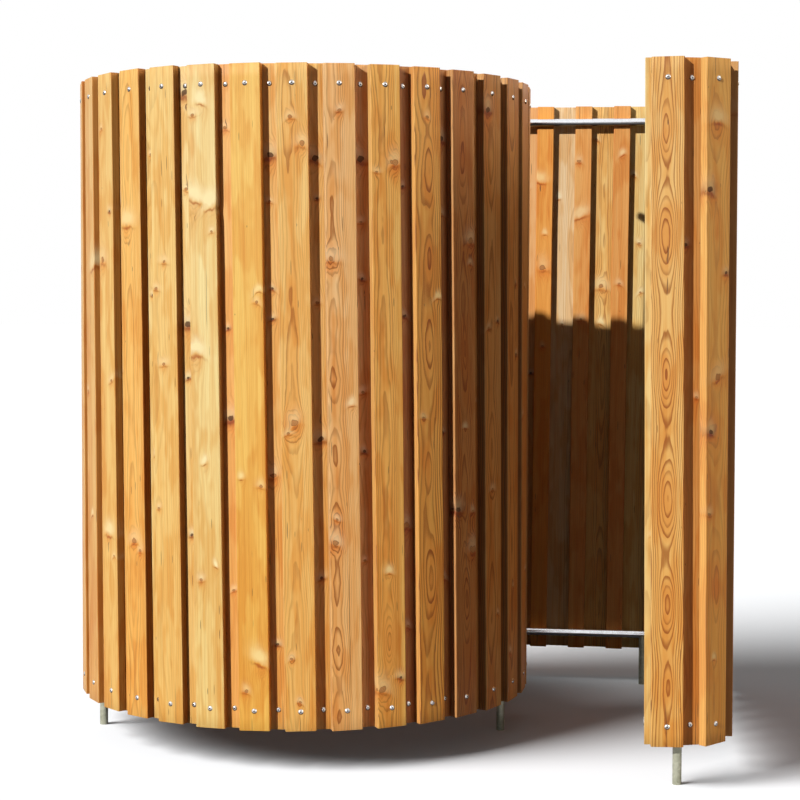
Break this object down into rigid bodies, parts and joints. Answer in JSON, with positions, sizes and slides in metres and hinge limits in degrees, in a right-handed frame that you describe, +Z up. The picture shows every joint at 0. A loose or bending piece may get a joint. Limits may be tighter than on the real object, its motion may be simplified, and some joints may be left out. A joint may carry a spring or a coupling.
{
  "type": "outdoor changing cubicle",
  "caption": "Roofless outdoor changing cubicle: a spiral wall of overlapping upright boards on bent steel tube rings and short legs, round room with a screened side entrance.",
  "frame": {"origin": "centre of the whole outline on the ground, under the feet", "axes": "+X from the round room towards the side wall of the corridor, +Y from the entrance side towards the rear wall, +Z up"},
  "size_m": [2.1514, 1.5348, 2.1256],
  "materials": {
    "outer_boards": "planed softwood, clear honey-coloured finish",
    "inner_boards": "planed softwood, clear honey-coloured finish",
    "rings": "hot-dip galvanised",
    "legs": "hot-dip galvanised, dulled"
  },
  "bodies": {
    "root": {"corner_leg": "legs", "drum_entrance_inner_boards": "inner_boards", "drum_entrance_outer_boards": "outer_boards", "drum_front_left_inner_boards": "inner_boards", "drum_front_left_outer_boards": "outer_boards", "drum_front_right_inner_boards": "inner_boards", "drum_front_right_outer_boards": "outer_boards", "drum_left_inner_boards": "inner_boards", "drum_left_outer_boards": "outer_boards", "drum_rear_inner_boards": "inner_boards", "drum_rear_left_inner_boards": "inner_boards", "drum_rear_left_outer_boards": "outer_boards", "drum_rear_outer_boards": "outer_boards", "entrance_leg": "legs", "entrance_screen_inner_boards": "inner_boards", "entrance_screen_outer_boards": "outer_boards", "left_leg": "legs", "lower_ring_drum": "rings", "lower_ring_front_bend": "rings", "lower_ring_rear_bend": "rings", "lower_ring_rear_run": "rings", "lower_ring_side_run": "rings", "rear_corner_inner_boards": "inner_boards", "rear_corner_outer_boards": "outer_boards", "rear_leg": "legs", "rear_wall_left_inner_boards": "inner_boards", "rear_wall_left_outer_boards": "outer_boards", "rear_wall_right_inner_boards": "inner_boards", "rear_wall_right_outer_boards": "outer_boards", "screen_leg": "legs", "side_wall_front_inner_boards": "inner_boards", "side_wall_front_outer_boards": "outer_boards", "side_wall_rear_inner_boards": "inner_boards", "side_wall_rear_outer_boards": "outer_boards", "upper_ring_drum": "rings", "upper_ring_front_bend": "rings", "upper_ring_rear_bend": "rings", "upper_ring_rear_run": "rings", "upper_ring_side_run": "rings"}
  },
  "joints": []
}
